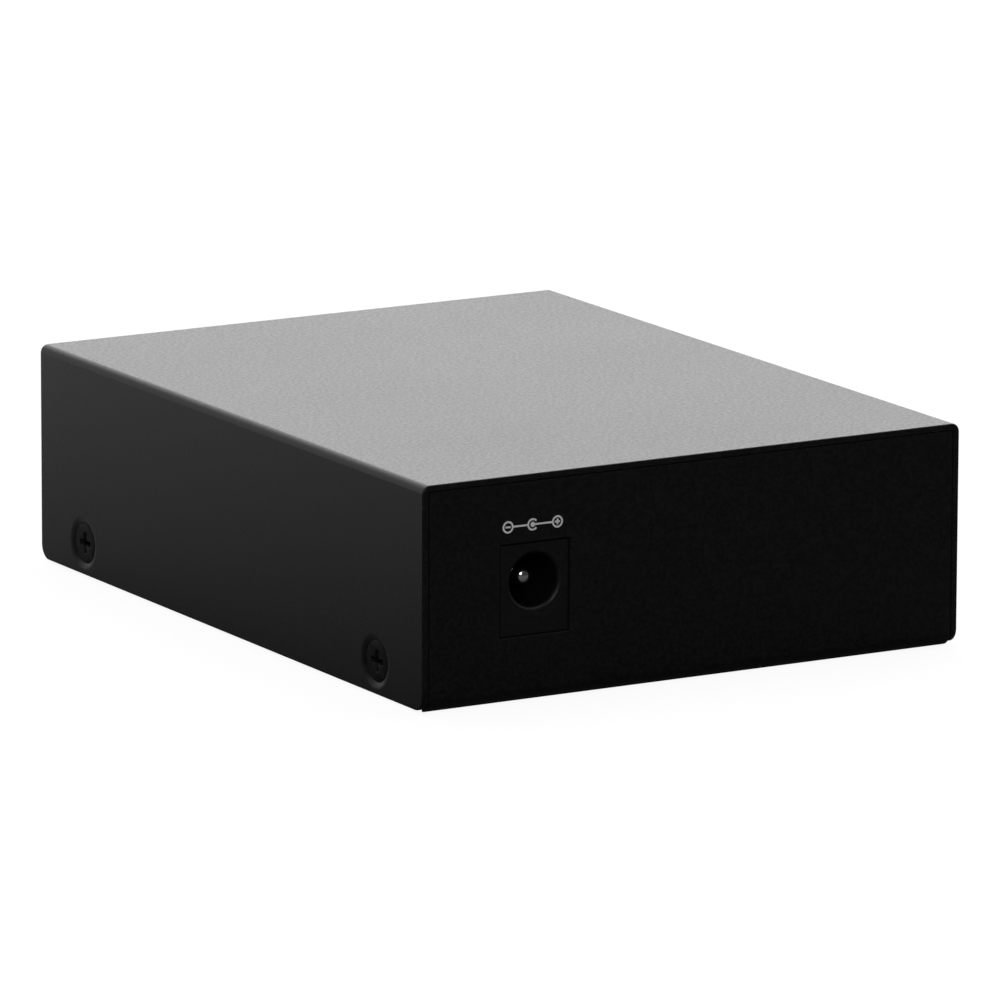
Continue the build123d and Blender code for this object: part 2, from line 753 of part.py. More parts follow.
def make_switch_knob():
    place = Pos(switch_rest_x, switch_axis)
    stem = place * Rectangle(switch_stem_span, switch_stem_height)
    slider = place * Rectangle(switch_slider_span, switch_slider_height)
    knob = along_y(stem, switch_stem_recess - end_y, switch_slider_rear)
    return knob + along_y(slider, switch_slider_front, switch_slider_rear)


# Sprung contact clip that the slider carries, bowed against the switch's back
def make_switch_wiper():
    thick = switch_wiper_thickness
    half = switch_slider_span / 2 - thick
    rest = switch_slider_rear + thick / 2
    crest = switch_rear - switch_base_thickness - 2 * running_clear - thick
    bends = [(-half, rest), (-half / 2, rest), (0, crest), (half / 2, rest), (half, rest)]
    points = [(switch_rest_x + x, y, switch_axis) for x, y in bends]
    return strip(points, switch_wiper_height, thick, (0, 0, 1))


# Parts on the board
def on_board(outline, height):
    return along_z(outline, board_top, board_top + height)


# Gull-wing lead: foot on the board, rising to the body at x = 0
def gull_lead():
    knee = -lead_reach / 2
    outline = Polyline(
        (0, lead_rise),
        (knee, lead_rise),
        (knee, lead_thickness),
        (-lead_reach, lead_thickness),
        (-lead_reach, 0),
        (knee + lead_thickness, 0),
        (knee + lead_thickness, lead_rise - lead_thickness),
        (0, lead_rise - lead_thickness),
        close=True,
    )
    return extrude(Plane.XZ * make_face(outline), amount=lead_width / 2, both=True)


# Body at the origin with leads along its -X and +X sides, at the given places along Y
def leaded(body, width, left, right):
    lead = gull_lead()
    body = body + [Pos(-width / 2, y, board_top) * lead for y in left]
    return body + [Pos(width / 2, y, board_top) * Rot(0, 0, 180) * lead for y in right]


def make_converter_chip():
    body = on_board(square(chip_size), chip_height)
    body = chamfer(body.edges().group_by(Axis.Z)[-1], chip_edge)
    return Pos(0, chip_y) * body


def make_crystal_can():
    can = on_board(SlotOverall(crystal_length, crystal_width), crystal_height)
    return Pos(crystal_x, chip_y) * Rot(0, 0, 90) * can


def make_ethernet_transformer():
    body = on_board(Rectangle(transformer_width, transformer_length), transformer_height)
    body = chamfer(body.edges().group_by(Axis.Z)[-1], transformer_edge)
    rows = spread(0, transformer_lead_count, transformer_lead_pitch)
    front = standoff_front_y + board_screw_head / 2 + transformer_gap
    place = Pos(rj45_x, front + lead_reach + transformer_width / 2)
    return place * Rot(0, 0, 90) * leaded(body, transformer_width, rows, rows)


def make_power_inductor():
    outline = chamfer(square(inductor_size).vertices(), inductor_corner)
    core = on_board(outline, inductor_height)
    waist = outline - Circle(inductor_drum / 2)
    low = board_top + inductor_flange
    core = core - along_z(waist, low, board_top + inductor_height - inductor_flange)
    return Pos(jack_x, inductor_y) * core


def make_electrolytic_capacitors():
    can = along_z(Circle(capacitor_diameter / 2), 0, capacitor_height)
    lead = along_z(square(capacitor_lead_size), pin_end - board_top, 0)
    can = can + [Pos(x, 0) * lead for x in spread(0, 2, capacitor_lead_pitch)]
    return group(Pos(x, capacitor_y, board_top) * can for x in capacitor_xs)


def make_voltage_regulator():
    body = on_board(Rectangle(regulator_width, regulator_length), regulator_height)
    tab = on_board(Rectangle(lead_reach, regulator_tab_length), lead_thickness)
    body = body + Pos(-(regulator_width + lead_reach) / 2, 0) * tab
    body = leaded(body, regulator_width, [], spread(0, 3, regulator_lead_pitch))
    x = capacitor_second_x - capacitor_diameter / 2 - rear_part_gap - lead_reach - regulator_width / 2
    return Pos(x, capacitor_y) * body


def make_reverse_diode():
    body = on_board(Rectangle(diode_width, diode_length), diode_height)
    body = chamfer(body.edges().group_by(Axis.Z)[-1], diode_edge)
    strap = on_board(Rectangle(diode_strap, diode_length + 2 * lead_thickness), diode_height / 2)
    return Pos(jack_x, diode_y) * (body + strap)


def make_chip_passives():
    part = on_board(Rectangle(passive_length, passive_width), passive_height)
    edge = passive_inset - board_x
    columns = [edge + i * passive_pitch for i in range(passive_columns)]
    rows = spread(chip_y, passive_rows, passive_pitch)
    return group(Pos(x, y) * part for x in columns for y in rows)


makers = [
    make_top_cover,
    make_base_tray,
    make_cover_screws,
    make_board_standoffs,
    make_main_board,
    make_power_jack_housing,
    make_power_jack_pin,
    make_power_jack_spring,
    make_rj45_shell,
    make_rj45_housing,
    make_rj45_contacts,
    make_fibre_housing,
    make_fibre_lid,
    make_fibre_latches,
    make_fibre_barrels,
    make_fibre_sleeves,
    make_fibre_board,
    make_fibre_pins,
    make_light_pipe,
    make_status_leds,
    make_switch_frame,
    make_switch_base,
    make_switch_terminals,
    make_switch_knob,
    make_switch_wiper,
    make_converter_chip,
    make_crystal_can,
    make_ethernet_transformer,
    make_power_inductor,
    make_electrolytic_capacitors,
    make_voltage_regulator,
    make_reverse_diode,
    make_chip_passives,
]

os.makedirs("parts", exist_ok=True)
for make in makers:
    node = make.__name__.removeprefix("make_")
    export_step(make(), f"parts/{node}.step")
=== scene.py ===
import json
import math

import bmesh
import bpy
from mathutils import Matrix, Vector


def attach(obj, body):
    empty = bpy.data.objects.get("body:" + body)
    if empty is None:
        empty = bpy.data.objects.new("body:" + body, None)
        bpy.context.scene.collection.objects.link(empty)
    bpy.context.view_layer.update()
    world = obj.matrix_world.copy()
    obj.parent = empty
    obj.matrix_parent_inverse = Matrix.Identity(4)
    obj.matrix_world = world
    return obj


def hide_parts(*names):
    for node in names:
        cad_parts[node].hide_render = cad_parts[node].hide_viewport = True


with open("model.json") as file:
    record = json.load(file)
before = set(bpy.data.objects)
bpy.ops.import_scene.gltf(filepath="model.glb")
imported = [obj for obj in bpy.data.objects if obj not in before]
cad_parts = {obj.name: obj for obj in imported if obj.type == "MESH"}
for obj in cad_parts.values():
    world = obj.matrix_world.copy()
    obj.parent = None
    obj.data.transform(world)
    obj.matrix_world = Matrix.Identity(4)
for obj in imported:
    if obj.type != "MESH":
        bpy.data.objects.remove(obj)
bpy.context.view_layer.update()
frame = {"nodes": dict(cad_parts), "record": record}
mm = 0.001
mergeGap = 0.0005  # points this close, in mm, become one
nearly = 0.001  # a point or face this close to a plane, in mm, lies on it
print("frame loaded,", len(frame["nodes"]), "nodes")


# shared effects, placed in each finish with its own values
toneInputs = [
    ("Dark", "Color", (0.1, 0.1, 0.1, 1)),
    ("Light", "Color", (0.2, 0.2, 0.2, 1)),
    ("Rough Low", "Float", 0.4),
    ("Rough High", "Float", 0.6),
]
speckleInputs = [("Grain", "Float", 2000.0), ("Cloud", "Float", 60.0), ("Cloud Share", "Float", 0.3)]
brushedInputs = [("Stretch", "Vector", (1.0, 1.0, 1.0)), ("Lines", "Float", 900.0)]
noiseDetail = {"grain": 3.0, "cloud": 2.0, "lines": 4.0}
noiseSpread = {"speckle": (0.36, 0.64), "brushed": (0.32, 0.68)}  # stretched to 0 to 1
mixSockets = {"RGBA": (6, 7, 2), "FLOAT": (2, 3, 0)}  # a Mix node's two inputs and its output


def effectGroup(name, inputs):
    group = bpy.data.node_groups.new(name, "ShaderNodeTree")
    for label, kind, value in inputs:
        socket = group.interface.new_socket(label, in_out="INPUT", socket_type="NodeSocket" + kind)
        socket.default_value = value
    for label, kind in (("Color", "Color"), ("Roughness", "Float"), ("Height", "Float")):
        group.interface.new_socket(label, in_out="OUTPUT", socket_type="NodeSocket" + kind)
    return group, group.nodes.new("NodeGroupInput"), group.nodes.new("NodeGroupOutput")


def addNode(tree, kind, **values):
    made = tree.nodes.new("ShaderNode" + kind)
    for label, value in values.items():
        setattr(made, label, value)
    return made


def addNoise(group, place, scale, detail):
    noise = addNode(group, "TexNoise")
    noise.inputs["Detail"].default_value = detail
    group.links.new(place, noise.inputs["Vector"])
    group.links.new(scale, noise.inputs["Scale"])
    return noise.outputs["Fac"]


def mixed(group, kind, factor, first, second):
    mix = addNode(group, "Mix", data_type=kind)
    firstSocket, secondSocket, outSocket = mixSockets[kind]
    group.links.new(factor, mix.inputs["Factor"])
    group.links.new(first, mix.inputs[firstSocket])
    group.links.new(second, mix.inputs[secondSocket])
    return mix.outputs[outSocket]


def spreadOut(group, value, limits):  # noise sits near its middle, so it is stretched to 0 to 1
    ramp = addNode(group, "MapRange")
    ramp.inputs["From Min"].default_value = limits[0]
    ramp.inputs["From Max"].default_value = limits[1]
    group.links.new(value, ramp.inputs["Value"])
    return ramp.outputs["Result"]


def toneAndGloss(group, given, result, pattern):  # pattern 0 to 1 drives colour and roughness together
    tone = mixed(group, "RGBA", pattern, given.outputs["Dark"], given.outputs["Light"])
    group.links.new(tone, result.inputs["Color"])
    gloss = addNode(group, "MapRange")
    group.links.new(pattern, gloss.inputs["Value"])
    group.links.new(given.outputs["Rough Low"], gloss.inputs["To Min"])
    group.links.new(given.outputs["Rough High"], gloss.inputs["To Max"])
    group.links.new(gloss.outputs["Result"], result.inputs["Roughness"])


def speckleEffect():  # fine grain over soft clouds: powder coat, moulded plastic, ceramic
    group, given, result = effectGroup("speckle", speckleInputs + toneInputs)
    place = addNode(group, "TexCoord").outputs["Object"]
    grain = addNoise(group, place, given.outputs["Grain"], noiseDetail["grain"])
    cloud = addNoise(group, place, given.outputs["Cloud"], noiseDetail["cloud"])
    both = mixed(group, "FLOAT", given.outputs["Cloud Share"], grain, cloud)
    toneAndGloss(group, given, result, spreadOut(group, both, noiseSpread["speckle"]))
    group.links.new(grain, result.inputs["Height"])
    return group


def brushedEffect():  # drawn lines of rolled or turned metal
    group, given, result = effectGroup("brushed", brushedInputs + toneInputs)
    pull = addNode(group, "Mapping")
    group.links.new(addNode(group, "TexCoord").outputs["Object"], pull.inputs["Vector"])
    group.links.new(given.outputs["Stretch"], pull.inputs["Scale"])
    lines = addNoise(group, pull.outputs["Vector"], given.outputs["Lines"], noiseDetail["lines"])
    toneAndGloss(group, given, result, spreadOut(group, lines, noiseSpread["brushed"]))
    group.links.new(lines, result.inputs["Height"])
    return group


effects = {"speckle": speckleEffect(), "brushed": brushedEffect()}
print("shared effects made")


def makeFinish(name, effect, values, bump, shader):
    made = bpy.data.materials.new(name)
    made.use_nodes = True
    tree = made.node_tree
    surface = tree.nodes["Principled BSDF"]
    for label, value in shader.items():
        surface.inputs[label].default_value = value
    use = addNode(tree, "Group", node_tree=effects[effect])
    for label, value in values.items():
        use.inputs[label].default_value = value
    tree.links.new(use.outputs["Color"], surface.inputs["Base Color"])
    tree.links.new(use.outputs["Roughness"], surface.inputs["Roughness"])
    strength, distance = bump
    relief = addNode(tree, "Bump")
    relief.inputs["Strength"].default_value = strength
    relief.inputs["Distance"].default_value = distance * mm
    tree.links.new(use.outputs["Height"], relief.inputs["Height"])
    tree.links.new(relief.outputs["Normal"], surface.inputs["Normal"])
    return made


def tones(dark, light, rough, **more):
    return {"Dark": (*dark, 1), "Light": (*light, 1), "Rough Low": rough[0], "Rough High": rough[1], **more}


evenPaint = {"Grain": 2300.0, "Cloud": 45.0, "Cloud Share": 0.06}


# one entry for each of the record's slots: effect, its values, bump (strength, mm), plain shader settings
finishes = {
    "case_paint": (
        "speckle",
        tones((0.0022, 0.0022, 0.0024), (0.0070, 0.0070, 0.0075), (0.32, 0.42), **evenPaint),
        (0.25, 0.05),
        {"IOR": 1.33, "Sheen Weight": 0.04, "Sheen Roughness": 0.45},
    ),
    "black_screw": (
        "speckle",
        tones((0.0020, 0.0020, 0.0021), (0.0065, 0.0065, 0.0068), (0.42, 0.58), Grain=1500.0, Cloud=300.0),
        (0.15, 0.03),
        {"IOR": 1.24},
    ),
    "zinc_steel": (
        "brushed",
        tones((0.50, 0.51, 0.52), (0.66, 0.67, 0.68), (0.25, 0.42), Lines=700.0),
        (0.10, 0.02),
        {"Metallic": 1.0},
    ),
    "tinned_steel": (
        "brushed",
        tones((0.65, 0.66, 0.67), (0.71, 0.72, 0.73), (0.25, 0.33), Stretch=(0.02, 0.05, 1.0), Lines=6000.0),
        (0.05, 0.01),
        {"Metallic": 1.0},
    ),
    "tinned_lead": (
        "brushed",
        tones((0.60, 0.61, 0.62), (0.78, 0.78, 0.79), (0.20, 0.38), Stretch=(1.0, 1.0, 0.2), Lines=1600.0),
        (0.08, 0.01),
        {"Metallic": 1.0},
    ),
    "board_laminate": (
        "speckle",
        tones((0.006, 0.060, 0.024), (0.012, 0.105, 0.040), (0.22, 0.34), Grain=900.0, Cloud=160.0),
        (0.12, 0.02),
        {"IOR": 1.50, "Coat Weight": 0.3, "Coat Roughness": 0.15},
    ),
    "black_plastic": (
        "speckle",
        tones((0.0024, 0.0024, 0.0026), (0.0066, 0.0066, 0.0070), (0.34, 0.46), Grain=2600.0, Cloud=120.0),
        (0.18, 0.03),
        {"IOR": 1.36},
    ),
    "pale_plastic": (
        "speckle",
        tones((0.52, 0.50, 0.44), (0.62, 0.60, 0.54), (0.32, 0.45), Grain=1800.0, Cloud=150.0),
        (0.12, 0.02),
        {"IOR": 1.48, "Subsurface Weight": 0.05},
    ),
    "brown_laminate": (
        "speckle",
        tones((0.10, 0.045, 0.018), (0.17, 0.085, 0.035), (0.45, 0.60), Grain=1300.0, Cloud=260.0),
        (0.20, 0.02),
        {"IOR": 1.50},
    ),
    "chip_resin": (
        "speckle",
        tones((0.012, 0.012, 0.013), (0.028, 0.028, 0.030), (0.50, 0.66), Grain=3000.0, Cloud=200.0),
        (0.22, 0.02),
        {"IOR": 1.50},
    ),
    "plated_contact": (
        "brushed",
        tones((0.66, 0.65, 0.62), (0.82, 0.81, 0.78), (0.12, 0.24), Stretch=(1.0, 0.2, 1.0), Lines=1500.0),
        (0.06, 0.01),
        {"Metallic": 1.0},
    ),
    "gold_contact": (
        "brushed",
        tones((0.72, 0.47, 0.16), (0.90, 0.63, 0.26), (0.14, 0.26), Stretch=(1.0, 0.25, 1.0), Lines=1500.0),
        (0.06, 0.01),
        {"Metallic": 1.0},
    ),
    "sleeve_ceramic": (
        "speckle",
        tones((0.74, 0.73, 0.69), (0.82, 0.81, 0.78), (0.12, 0.20), Grain=2500.0, Cloud=200.0),
        (0.05, 0.01),
        {"IOR": 1.80},
    ),
    "clear_plastic": (
        "speckle",
        tones((0.86, 0.88, 0.86), (0.94, 0.95, 0.94), (0.10, 0.20), Grain=1200.0, Cloud=90.0),
        (0.05, 0.02),
        {"IOR": 1.49, "Transmission Weight": 0.75},
    ),
    "led_resin": (
        "speckle",
        tones((0.55, 0.60, 0.42), (0.68, 0.72, 0.52), (0.20, 0.35), Grain=1500.0, Cloud=300.0),
        (0.08, 0.02),
        {"IOR": 1.50},
    ),
    "ferrite": (
        "speckle",
        tones((0.020, 0.019, 0.019), (0.055, 0.052, 0.050), (0.48, 0.66), Grain=2200.0, Cloud=350.0),
        (0.30, 0.03),
        {"IOR": 1.60},
    ),
    "capacitor_sleeve": (
        "speckle",
        tones((0.010, 0.012, 0.030), (0.020, 0.024, 0.055), (0.22, 0.34), Grain=1500.0, Cloud=180.0),
        (0.10, 0.02),
        {"IOR": 1.50},
    ),
    "passive_ceramic": (
        "speckle",
        tones((0.30, 0.24, 0.17), (0.42, 0.35, 0.26), (0.40, 0.55), Grain=2600.0, Cloud=400.0),
        (0.15, 0.02),
        {"IOR": 1.60},
    ),
}
looks = {slot: makeFinish(slot, *settings) for slot, settings in finishes.items()}
whiteInk = makeFinish(
    "whiteInk",
    "speckle",
    tones((0.74, 0.74, 0.74), (0.86, 0.86, 0.86), (0.45, 0.6), Grain=4000.0, Cloud=700.0),
    (0.10, 0.01),
    {"IOR": 1.45},
)

slotOf = {}
for part in frame["record"]["subparts"]:
    slotOf[part["node"]] = part["material_slot"]
    shown = frame["nodes"][part["node"]]
    if not shown.data.materials:
        shown.data.materials.append(None)
    for holder in shown.material_slots:
        holder.material = looks[part["material_slot"]]
print("finishes made:", len(looks) + 1)


# pieces are drawn in millimetres and brought to metres here
def addPiece(name, bm, slot, body="case", replaced=(), look=None, smooth=True):
    bmesh.ops.scale(bm, vec=Vector((mm, mm, mm)), verts=bm.verts)
    for face in bm.faces:
        face.smooth = smooth
    mesh = bpy.data.meshes.new(name)
    bm.to_mesh(mesh)
    bm.free()
    piece = bpy.data.objects.new(name, mesh)
    bpy.context.scene.collection.objects.link(piece)
    mesh.materials.append(look or looks[slot])
    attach(piece, body)
    if replaced:
        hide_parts(*replaced)
    return piece


edgeRounding = {"segments": 2, "angle": 35.0, "evenWeight": 80}


def roundEdges(piece, width, segments=edgeRounding["segments"], angle=edgeRounding["angle"]):
    soft = piece.modifiers.new("roundEdges", "BEVEL")
    soft.width = width * mm
    soft.segments = segments
    soft.limit_method = "ANGLE"
    soft.angle_limit = math.radians(angle)
    even = piece.modifiers.new("evenShading", "WEIGHTED_NORMAL")
    even.weight = edgeRounding["evenWeight"]


def lathe(profile, steps):  # (radius, height) points turned about Z
    bm = bmesh.new()
    verts = [bm.verts.new((radius, 0, height)) for radius, height in profile]
    edges = [bm.edges.new(pair) for pair in zip(verts, verts[1:])]
    bmesh.ops.spin(
        bm, geom=verts + edges, cent=(0, 0, 0), axis=(0, 0, 1), angle=math.tau, steps=steps, use_merge=True
    )
    bmesh.ops.remove_doubles(bm, verts=bm.verts, dist=mergeGap)
    bmesh.ops.recalc_face_normals(bm, faces=bm.faces)
    return bm


def addBlock(bm, low, high):
    size = Vector(high) - Vector(low)
    middle = (Vector(high) + Vector(low)) / 2
    bmesh.ops.create_cube(bm, size=1.0, matrix=Matrix.Translation(middle) @ Matrix.Diagonal((*size, 1)))


def addShape(bm, other, *places):  # another drawn shape set here at each of its places
    mesh = bpy.data.meshes.new("drawnShape")
    other.to_mesh(mesh)
    other.free()
    for place in places or [Matrix()]:
        start = len(bm.verts)
        bm.from_mesh(mesh)
        bm.verts.ensure_lookup_table()
        bmesh.ops.transform(bm, matrix=place, verts=bm.verts[start:])
    bpy.data.meshes.remove(mesh)


def repeated(source, places):  # one drawn shape at several places, joined in one mesh
    bm = bmesh.new()
    addShape(bm, source, *places)
    return bm


def facing(x, y, z, direction):  # local +Z turned to a direction, at a place
    turn = Vector(direction).to_track_quat("Z", "Y").to_matrix().to_4x4()
    return Matrix.Translation((x, y, z)) @ turn


def vertsOf(geom):
    return [item for item in geom if isinstance(item, bmesh.types.BMVert)]


# cover: one folded sheet with pressed dimples for its screws
coverSheet = {
    "halfWidth": 36.5,
    "halfDepth": 47.25,
    "top": 27.0,
    "low": 0.3,
    "thickness": 0.8,
    "foldRadius": 1.0,
    "foldSteps": 8,
    "cornerRadius": 1.8,
    "cornerSteps": 8,
    "screwY": 36.2,
    "screwZ": 4.2,
    "patch": 3.6,  # half the square of wall that each dimple is pressed into
    "dimple": [  # radius and depth of each ring
        (3.45, 0.0),
        (3.30, 0.0),
        (3.12, 0.03),
        (2.85, 0.12),
        (2.55, 0.27),
        (2.1, 0.72),
        (1.75, 1.07),
    ],
    "dimpleSteps": 48,
    "holeShare": 0.375,  # of the thickness, left at each screw hole
    "cutSnap": 0.0001,
    "edgeRound": 0.15,
    "edgeAngle": 50.0,
}


def screwPlaces(depth):
    x, y = coverSheet["halfWidth"] - depth, coverSheet["screwY"]
    spots = [(side, way * y) for side in (-1, 1) for way in (-1, 1)]
    return [facing(side * x, spot, coverSheet["screwZ"], (side, 0, 0)) for side, spot in spots]


def foldedSheet(bm):
    sheet = coverSheet
    corners = [(-1, sheet["low"]), (-1, sheet["top"]), (1, sheet["top"]), (1, sheet["low"])]
    verts = [bm.verts.new((side * sheet["halfWidth"], -sheet["halfDepth"], z)) for side, z in corners]
    edges = [bm.edges.new(pair) for pair in zip(verts, verts[1:])]
    pulled = bmesh.ops.extrude_edge_only(bm, edges=edges)["geom"]
    bmesh.ops.translate(bm, vec=(0, 2 * sheet["halfDepth"], 0), verts=vertsOf(pulled))
    folds = [edge for edge in bm.edges if len(edge.link_faces) == 2]
    radius, steps = sheet["foldRadius"], sheet["foldSteps"]
    bmesh.ops.bevel(
        bm, geom=folds, offset=radius, affect="EDGES", segments=steps, profile=0.5, material=-1
    )
    feet = [vert for vert in bm.verts if abs(vert.co.z - sheet["low"]) < nearly]
    radius, steps = sheet["cornerRadius"], sheet["cornerSteps"]
    bmesh.ops.bevel(
        bm, geom=feet, offset=radius, affect="VERTICES", segments=steps, profile=0.5, material=-1
    )


def cutWalls(bm, way, distance):  # a straight cut through the two side walls only
    side = coverSheet["halfWidth"]
    walls = [face for face in bm.faces if abs(abs(face.calc_center_median().x) - side) < nearly]
    edges = list({edge for face in walls for edge in face.edges})
    verts = list({vert for face in walls for vert in face.verts})
    spot, snap = way * distance, coverSheet["cutSnap"]
    bmesh.ops.bisect_plane(bm, geom=walls + edges + verts, dist=snap, plane_co=spot, plane_no=way)


def pressDimple(bm, place):
    spot = place.translation
    patch = min(bm.faces, key=lambda face: (face.calc_center_median() - spot).length)
    rim = list(patch.edges)
    bmesh.ops.delete(bm, geom=[patch], context="FACES_ONLY")
    (radius, depth), *rings = coverSheet["dimple"]
    steps = coverSheet["dimpleSteps"]
    ring = bmesh.ops.create_circle(bm, radius=radius, segments=steps, matrix=place)["verts"]
    loop = list({edge for vert in ring for edge in vert.link_edges})
    bmesh.ops.bridge_loops(bm, edges=rim + loop)
    inward = place.to_3x3() @ Vector((0, 0, -1))
    for ringRadius, ringDepth in rings:
        grown = bmesh.ops.extrude_edge_only(bm, edges=loop)["geom"]
        ring = vertsOf(grown)
        edges = [item for item in grown if isinstance(item, bmesh.types.BMEdge)]
        loop = [edge for edge in edges if all(vert in ring for vert in edge.verts)]
        middle = sum((vert.co for vert in ring), Vector()) / len(ring)
        bmesh.ops.scale(bm, vec=(ringRadius / radius,) * 3, space=Matrix.Translation(-middle), verts=ring)
        bmesh.ops.translate(bm, vec=inward * (ringDepth - depth), verts=ring)
        radius, depth = ringRadius, ringDepth
    return ring


def makeCover():
    sheet = coverSheet
    bm = bmesh.new()
    foldedSheet(bm)
    for middle in (-sheet["screwY"], sheet["screwY"]):
        for reach in (-sheet["patch"], sheet["patch"]):
            cutWalls(bm, Vector((0, 1, 0)), middle + reach)
    for reach in (-sheet["patch"], sheet["patch"]):
        cutWalls(bm, Vector((0, 0, 1)), sheet["screwZ"] + reach)
    wall = bm.verts.layers.deform.verify()
    holes = [vert for place in screwPlaces(0) for vert in pressDimple(bm, place)]
    bmesh.ops.remove_doubles(bm, verts=bm.verts, dist=mergeGap)
    bmesh.ops.recalc_face_normals(bm, faces=bm.faces)
    for vert in bm.verts:
        vert[wall][0] = 1.0
    for vert in holes:
        vert[wall][0] = sheet["holeShare"]
    piece = addPiece("coverSheet", bm, "case_paint", replaced=["top_cover"])
    piece.vertex_groups.new(name="sheetWall")
    solid = piece.modifiers.new("sheetThickness", "SOLIDIFY")
    solid.thickness = sheet["thickness"] * mm
    solid.offset = -1
    solid.use_even_offset = True
    solid.vertex_group = "sheetWall"
    roundEdges(piece, sheet["edgeRound"], angle=sheet["edgeAngle"])


makeCover()
print("cover made")


# screws: turned blanks with a tapered cross recess
def crossRecess(bm, cross, height):
    arm, half = cross["span"] / 2, cross["slot"] / 2
    corner = [(arm, -half), (arm, half), (half, half)]
    outline = []
    for quarter in range(4):
        turn = Matrix.Rotation(quarter * math.pi / 2, 3, "Z")
        outline += [bm.verts.new(turn @ Vector((x, y, height))) for x, y in corner]
    edges = [bm.edges.new(pair) for pair in zip(outline, outline[1:] + outline[:1])]
    loose = [edge for edge in bm.edges if edge.is_boundary]
    rim = [edge for edge in loose if all(abs(vert.co.z - height) < nearly for vert in edge.verts)]
    bmesh.ops.triangle_fill(bm, use_beauty=True, edges=rim + edges)
    low = vertsOf(bmesh.ops.extrude_edge_only(bm, edges=edges)["geom"])
    bmesh.ops.translate(bm, vec=(0, 0, -cross["depth"]), verts=low)
    bmesh.ops.scale(bm, vec=(cross["taper"], cross["taper"], 1), verts=low)
    bmesh.ops.contextual_create(bm, geom=[edge for edge in bm.edges if edge.is_boundary])
    bmesh.ops.recalc_face_normals(bm, faces=bm.faces)


def threadRings(screw, start):  # ridges of the thread along the shank, down to its plain end
    pitch = screw["pitch"]
    rings = []
    for turn in range(int((start + screw["length"] - screw["plainEnd"]) / pitch)):
        rings += [(screw["shank"], start - turn * pitch), (screw["root"], start - (turn + 0.5) * pitch)]
    return rings


coverScrew = {
    "head": 2.5,
    "recess": 0.25,
    "edge": 0.07,
    "edgeDrop": 0.02,
    "shank": 1.45,
    "root": 1.22,
    "length": 4.0,
    "pitch": 0.5,
    "neckGap": 0.1,
    "plainEnd": 0.4,
    "point": 0.3,
    "steps": 48,
    "edgeRound": 0.05,
    "edgeAngle": 48.0,
    "cross": {"span": 2.7, "slot": 0.7, "depth": 1.2, "taper": 0.42},
}


def makeCoverScrews():
    screw = coverScrew
    head, edge, drop = screw["head"], screw["edge"], screw["edgeDrop"]
    root, end, point = screw["root"], -screw["length"], screw["point"]
    neck = screw["shank"] - head
    profile = [(head - edge, 0.0), (head - drop, -drop), (head, -edge), (screw["shank"], neck)]
    profile += threadRings(screw, neck - screw["neckGap"])
    profile += [(root, end + point), (root - point, end), (0, end)]
    bm = lathe(profile, screw["steps"])
    crossRecess(bm, screw["cross"], 0.0)
    bm = repeated(bm, screwPlaces(screw["recess"]))
    piece = addPiece("coverScrews", bm, "black_screw", replaced=["cover_screws"])
    roundEdges(piece, screw["edgeRound"], angle=screw["edgeAngle"])


boardScrew = {
    "x": 29.1,
    "ys": (-27.85, 41.4),
    "board": 8.0,
    "head": 2.3,
    "tall": 1.7,
    "crown": [(0.72, 1.0), (0.88, 0.9), (1.0, 0.55)],  # shares of the head's radius and height
    "shank": 1.2,
    "root": 1.02,
    "length": 4.4,
    "pitch": 0.45,
    "neckGap": 0.2,
    "plainEnd": 0.3,
    "point": 0.25,
    "steps": 40,
    "edgeRound": 0.05,
    "edgeAngle": 48.0,
    "cross": {"span": 2.5, "slot": 0.6, "depth": 1.0, "taper": 0.42},
}


def makeBoardScrews():
    screw = boardScrew
    head, tall, end = screw["head"], screw["tall"], -screw["length"]
    profile = [(head * wide, tall * high) for wide, high in screw["crown"]]
    profile += [(head, 0.0), (screw["shank"], 0.0)]
    profile += threadRings(screw, -screw["neckGap"])
    profile += [(screw["root"] - screw["point"], end), (0, end)]
    bm = lathe(profile, screw["steps"])
    crossRecess(bm, screw["cross"], tall)
    spots = [(side * screw["x"], y) for side in (-1, 1) for y in screw["ys"]]
    bm = repeated(bm, [Matrix.Translation((x, y, screw["board"])) for x, y in spots])
    piece = addPiece("boardScrews", bm, "zinc_steel")
    roundEdges(piece, screw["edgeRound"], angle=screw["edgeAngle"])


makeCoverScrews()
makeBoardScrews()
print("screws made")


# power socket's centre pin, with the tang and lug that carry it
jackPin = {
    "x": 21.5,
    "face": 47.05,
    "z": 14.3,
    "radius": 1.0,
    "tip": 2.0,
    "domeRise": 0.6,
    "domeSteps": 6,
    "root": 9.8,
    "tang": 0.8,
    "rear": 13.2,
    "lugWidth": 3.0,
    "lugThickness": 0.8,
    "lugLow": 5.0,
    "steps": 56,
    "edgeRound": 0.06,
}


def makeJackPin():
    pin = jackPin
    x, z, radius, root, tang = (pin[label] for label in ("x", "z", "radius", "root", "tang"))
    dome = []
    for step in range(pin["domeSteps"] + 1):
        turn = step * math.pi / (2 * pin["domeSteps"])
        dome.append((radius * math.sin(turn), -pin["tip"] - pin["domeRise"] * (1 - math.cos(turn))))
    bm = lathe(dome + [(radius, -root), (0, -root)], pin["steps"])
    addBlock(bm, (-tang, -tang, -pin["rear"]), (tang, tang, -root))
    bmesh.ops.transform(bm, matrix=facing(x, pin["face"], z, (0, 1, 0)), verts=bm.verts)
    half, rear = pin["lugWidth"] / 2, pin["face"] - pin["rear"]
    addBlock(bm, (x - half, rear - pin["lugThickness"], pin["lugLow"]), (x + half, rear, z + half))
    roundEdges(addPiece("jackPin", bm, "plated_contact", replaced=["power_jack_pin"]), pin["edgeRound"])


